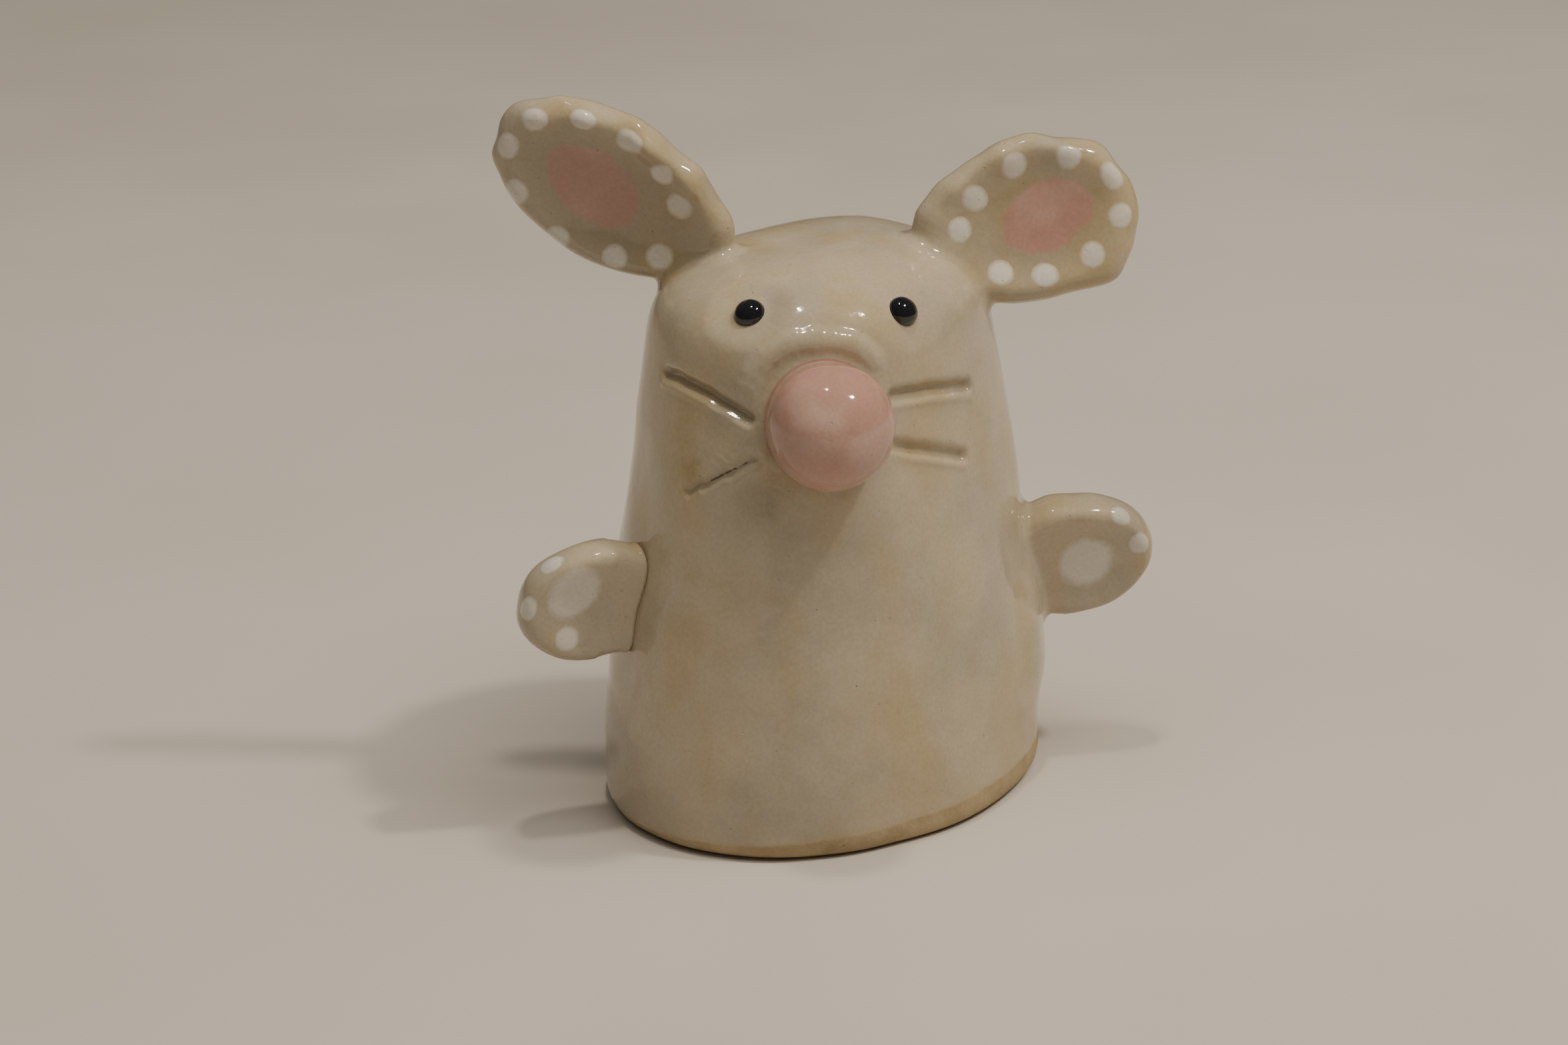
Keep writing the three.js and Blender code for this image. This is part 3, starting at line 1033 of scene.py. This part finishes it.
def drip(master, node, pad, radius, relief, stretch, turned):
    """Lays a copy of the drop on a pad's face where its node is, and lets it follow the face."""
    ob = master.copy()
    ob.data = master.data.copy()
    ob.name = ob.data.name = node + "_slip"
    bpy.context.collection.objects.link(ob)
    skin = surface(pad)
    middle = middle_of(node)
    place, slope, _, _ = skin.ray_cast(middle - BRUSH * 20, BRUSH)
    if place is None:
        place, slope, _, _ = skin.find_nearest(middle)
    spin = Matrix.Rotation(turned, 4, "Z")
    shape = Matrix.Diagonal((radius * stretch, radius, 1, 1))
    set_at(ob, Matrix.Translation(place) @ upright_on(slope) @ spin @ shape)
    co = places(ob)
    settled = 0.02  # the drop's edge lies this far in the clay
    for i, point in enumerate(co):
        height = (Vector(point) - place).dot(slope)
        down, normal, _, _ = skin.find_nearest(Vector(point) - slope * height)
        rise = (height * relief / DROP_HEIGHT) if height > 0 else height
        co[i] = down + normal * rise - normal * settled
    set_places(ob, co)
    return ob


def eye_piece(node, body):
    rings = [(0, -1.1), (0.8, -1.0), (1.35, -0.6), (1.55, 0), (1.46, 0.45)]
    rings += [(1.2, 0.85), (0.8, 1.12), (0.35, 1.24), (0, 1.26)]
    ob = throw(node + "_bead", rings, 24)
    round_off(ob, 2)
    place, slope, _, _ = surface(body).find_nearest(middle_of(node))
    set_at(ob, Matrix.Translation(place - slope * EYE_SUNK) @ upright_on(slope))
    smooth(ob)
    return ob


def tail_piece(body):
    """Rolls a tapered coil, bends it round the wall and smears it on where it lies against it."""
    thick, thin = TAIL["radius"]
    heights = np.linspace(*TAIL["heights"], TAIL_STEPS + 1)
    degrees = np.linspace(*TAIL["degrees"], TAIL_STEPS + 1)
    line = [on_wall(*place, out=TAIL["out"]) for place in zip(heights, degrees)]
    length = sum((b - a).length for a, b in zip(line, line[1:]))
    rings = [(0, 0), (thick * 0.55, 0.3), (thick * 0.9, 1.2)]
    for share in np.linspace(0.12, 0.94, 12):
        rings.append((thick + (thin - thick) * share, length * share))
    rings += [(thin * 0.75, length * 0.975), (thin * 0.4, length * 0.995), (0, length)]
    ob = throw("tail_clay", rings, 20)
    round_off(ob, 2)
    wobble(ob, 4, 0.35)
    co = places(ob)
    for i, (x, y, z) in enumerate(co):
        step = min(max(z / length, 0), 0.9999) * TAIL_STEPS
        k = int(step)
        run = (line[k + 1] - line[k]).normalized()
        centre = line[k].lerp(line[k + 1], step - k)
        facing = Vector((centre.x - AXIS_FOOT.x, centre.y - AXIS_FOOT.y, 0)).normalized()
        facing = (facing - run * facing.dot(run)).normalized()
        co[i] = centre + run.cross(facing) * x + facing * y + run * (z - min(max(z, 0), length))
    set_places(ob, co)
    close_up(ob)
    trim_root(ob, body, 0.45)
    lute_on(ob, body, 0.9)
    smooth(ob)
    return ob


# ---- Camera, light and floor ----


CAMERA_LENS = 88
CAMERA_PLACE = (-29.5, -351.3, 156.1)
CAMERA_AIM = (-4.3, 9.1, 23.2)
CAMERA_ROLL = -1.9  # degrees
LAMP_AIM = (0, 0, 30)

WARM = (1, 0.88, 0.72)
SOFT_WARM = (1, 0.9, 0.76)
PALE_WARM = (1, 0.92, 0.8)
FLOOR_METRES = 6
WORLD_STRENGTH = 0.1


def camera():
    data = bpy.data.cameras.new("camera")
    data.lens = CAMERA_LENS
    data.sensor_width = 36
    data.clip_start = 0.01
    ob = bpy.data.objects.new("camera", data)
    bpy.context.collection.objects.link(ob)
    eye = Vector(CAMERA_PLACE) * MM
    level = (Vector(CAMERA_AIM) * MM - eye).to_track_quat("-Z", "Y").to_matrix()
    ob.location = eye
    ob.rotation_euler = (level @ Matrix.Rotation(math.radians(CAMERA_ROLL), 3, "Z")).to_euler()
    bpy.context.scene.camera = ob


def lamp(name, place, size, power, tint, seen_in_gloss=True):
    """A round lamp at a place in millimetres, aimed at the middle of the mouse."""
    data = bpy.data.lights.new(name, "AREA")
    data.shape = "DISK"
    data.size = size
    data.energy = power
    data.color = tint
    ob = bpy.data.objects.new(name, data)
    bpy.context.collection.objects.link(ob)
    ob.visible_glossy = seen_in_gloss
    ob.location = Vector(place) * MM
    ob.rotation_euler = (Vector(LAMP_AIM) * MM - ob.location).to_track_quat("-Z", "Y").to_euler()


def stage():
    clear_bench()
    bpy.ops.mesh.primitive_plane_add(size=FLOOR_METRES, location=(0, 0, 0))
    floor = bpy.context.object
    floor.name = "floor"
    f = Finish("pale_floor")
    tint = f.mix(f.noise(60, 2).between(0.3, 0.7), FLOOR_GREY, FLOOR_PALE)
    floor.data.materials.append(f.glazed({"Base Color": tint, "Roughness": 0.9}))
    world = bpy.data.worlds.new("studio")
    world.use_nodes = True
    background = world.node_tree.nodes["Background"].inputs
    background["Color"].default_value = colour(*PALE_WARM)
    background["Strength"].default_value = WORLD_STRENGTH
    bpy.context.scene.world = world
    lamp("bulb_right", (330, -110, 590), 0.045, 1.5, WARM)
    lamp("bulb_left", (0, -30, 650), 0.04, 0.9, WARM)
    lamp("soft_box", (300, -210, 680), 0.5, 2.6, SOFT_WARM, seen_in_gloss=False)
    lamp("soft_top", (-60, -40, 750), 0.9, 1.8, PALE_WARM, seen_in_gloss=False)


def add(piece, material, node):
    """Glazes a piece, and lets it stand for its CAD node on the one body."""
    piece.data.materials.clear()
    piece.data.materials.append(material)
    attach(piece, "root")
    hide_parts(node)


def main():
    camera()
    stage()
    clay = stoneware()
    black = black_glaze()
    body = body_piece()
    add(body, clay, "body_shell")
    pads = {}
    for key in EARS:
        pads[key] = ear_piece(key, body)
    for key in ARMS:
        pads[key] = arm_piece(key, body)
    for key, piece in pads.items():
        add(piece, clay, key)
    nose = nose_piece(body)
    add(nose, clay, "nose")
    for node in ("eye_left", "eye_right"):
        add(eye_piece(node, body), black, node)
    add(tail_piece(body), clay, "tail")
    master = drop_of_slip()
    for node in sorted(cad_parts):
        side = "left" if "left" in node else "right"
        if "_dot_" in node:
            radius = EAR_DOT["radius"] + hand.uniform(-0.08, 0.16)
            stretch, turned = hand.uniform(0.95, 1.2), hand.uniform(0, 3)
            ear, relief = pads["ear_" + side], EAR_DOT["relief"]
            piece = drip(master, node, ear, radius, relief, stretch, turned)
        elif "_palm" in node or "_toe_" in node:
            arm, spot = pads["arm_" + side], PALM[side] if "_palm" in node else TOE
            piece = drip(master, node, arm, spot["radius"], PAW_RELIEF, spot["stretch"], PAW_TURN)
        else:
            continue
        add(piece, clay, node)
    bpy.data.objects.remove(master)


main()
